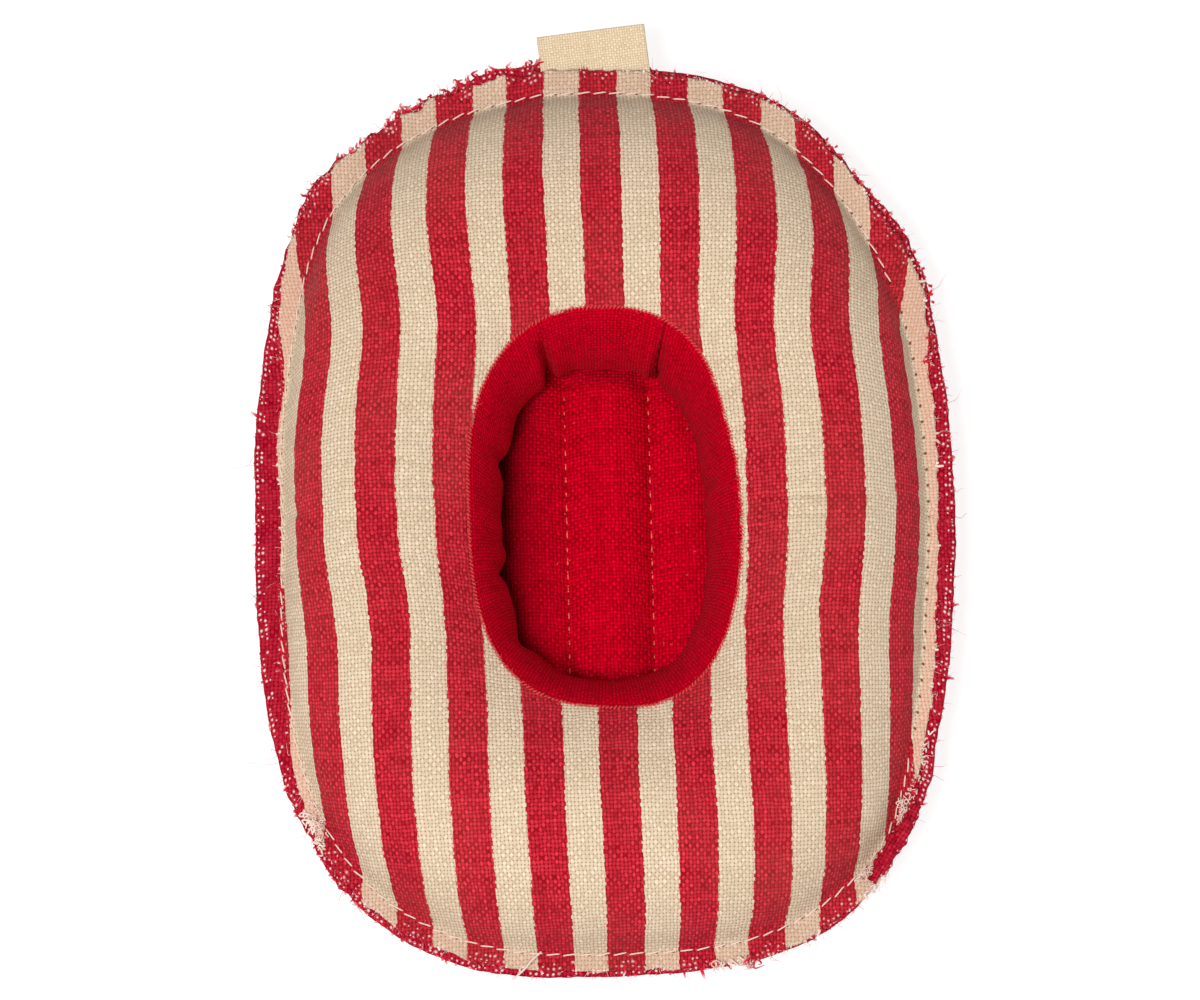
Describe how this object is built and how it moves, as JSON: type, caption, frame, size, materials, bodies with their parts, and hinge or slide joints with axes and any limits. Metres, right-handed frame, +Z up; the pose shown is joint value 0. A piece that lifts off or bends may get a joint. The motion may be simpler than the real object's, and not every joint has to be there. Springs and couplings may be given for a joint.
{
  "type": "stuffed cloth pool float toy",
  "caption": "Oval stuffed cloth pool float for a doll: a padded striped ring round a cockpit with a leaning wall, a quilted floor and a sewn tape label.",
  "frame": {"origin": "middle of the flat underside, on the surface that the float lies on", "axes": "+Z up, +Y towards the bow, where the label is sewn in, +X to starboard"},
  "size_m": [0.1058, 0.1467, 0.0246],
  "materials": {
    "striped_cotton": "plain-weave cotton, cream with printed red stripes",
    "red_cotton": "plain-weave cotton, red",
    "stuffing": "loose polyester fibre fill and wadding",
    "pale_thread": "cream sewing thread",
    "red_thread": "faded red sewing thread",
    "label_tape": "cream cotton tape, blank"
  },
  "bodies": {
    "float": {"top_panel": "striped_cotton", "underside_panel": "red_cotton", "collar": "red_cotton", "ring_stuffing": "stuffing", "floor_panel": "red_cotton", "floor_wadding": "stuffing", "perimeter_needle_thread": "pale_thread", "perimeter_bobbin_thread": "pale_thread", "rim_seam_thread": "red_thread", "collar_foot_thread": "red_thread", "collar_joining_thread": "red_thread", "quilting_thread_left": "red_thread", "quilting_thread_right": "red_thread", "label_anchor": "label_tape"},
    "label": {"label_loop": "label_tape"}
  },
  "joints": [
    {"name": "label_flex", "type": "hinge", "parent": "float", "child": "label", "pos_m": [-0.0021, 0.0711, 0.01315], "axis": [1, 0, 0], "range_deg": [-70, 75], "stiffness_Nm_per_rad": 0.00005}
  ]
}
